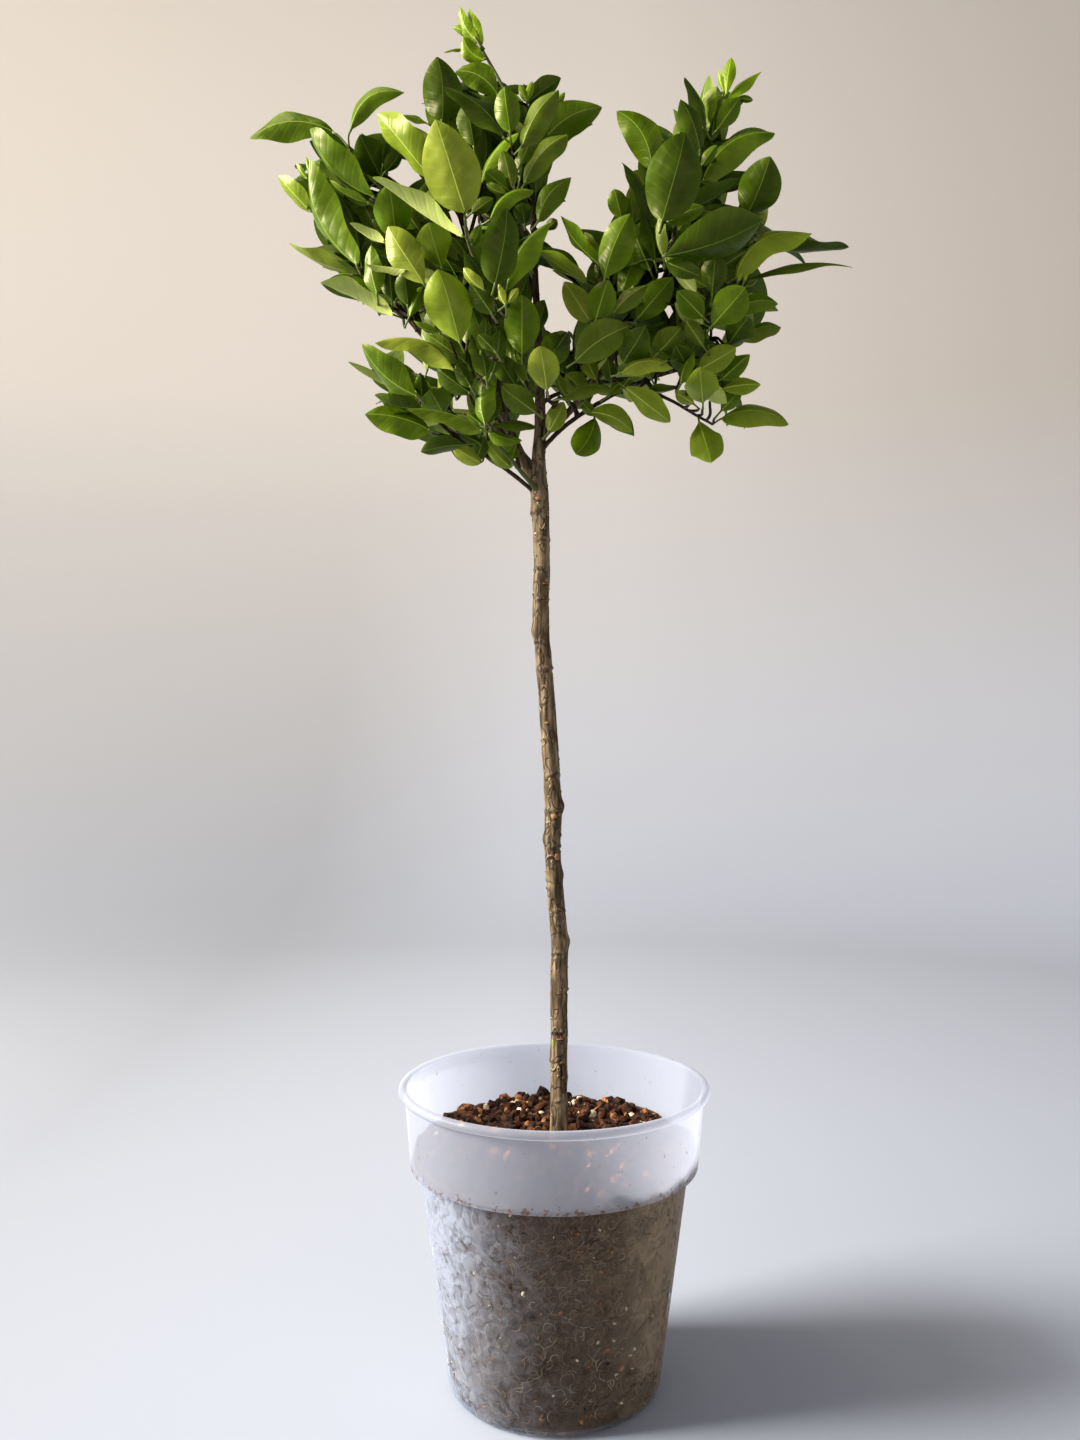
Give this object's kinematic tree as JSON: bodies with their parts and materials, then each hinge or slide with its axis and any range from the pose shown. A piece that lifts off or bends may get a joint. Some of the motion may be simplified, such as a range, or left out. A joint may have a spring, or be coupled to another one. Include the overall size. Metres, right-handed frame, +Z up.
{
  "type": "lollipop citrus tree in a nursery pot",
  "caption": "Small clear-stemmed citrus-like tree with a loose round head of glossy oval leaves, growing in a frosted translucent plastic nursery pot",
  "frame": {"origin": "middle of the pot's flat underside", "axes": "+Z up along the plant, the head's fuller face towards -Y, +X to its right"},
  "size_m": [0.369, 0.284, 0.842],
  "materials": {
    "pot": "frosted translucent polypropylene, satin",
    "potting_mix": "moist bark and coir potting mix, matte",
    "bark": "young ridged bark, matte",
    "foliage": "waxy leaves, satin"
  },
  "bodies": {
    "root": {"bough_back_left": "bark", "bough_back_left_low": "bark", "bough_back_low": "bark", "bough_back_right": "bark", "bough_back_top": "bark", "bough_front_low": "bark", "bough_front_right": "bark", "bough_leader": "bark", "bough_left_high": "bark", "bough_left_low": "bark", "bough_left_main": "bark", "bough_left_mid": "bark", "bough_left_outer": "bark", "bough_right_low": "bark", "bough_right_mid": "bark", "bough_right_outer": "bark", "bough_right_upper": "bark", "bough_tip_shoot": "bark", "foliage_back_left": "foliage", "foliage_back_left_low": "foliage", "foliage_back_low": "foliage", "foliage_back_right": "foliage", "foliage_back_top": "foliage", "foliage_centre_low": "foliage", "foliage_front_centre": "foliage", "foliage_front_right": "foliage", "foliage_left_low": "foliage", "foliage_left_middle": "foliage", "foliage_left_upper": "foliage", "foliage_right_low": "foliage", "foliage_right_middle": "foliage", "foliage_right_outer": "foliage", "foliage_right_upper": "foliage", "foliage_tip_tuft": "foliage", "foliage_top": "foliage", "foliage_top_left": "foliage", "pot": "pot", "root_ball": "potting_mix", "trunk": "bark"}
  },
  "joints": []
}
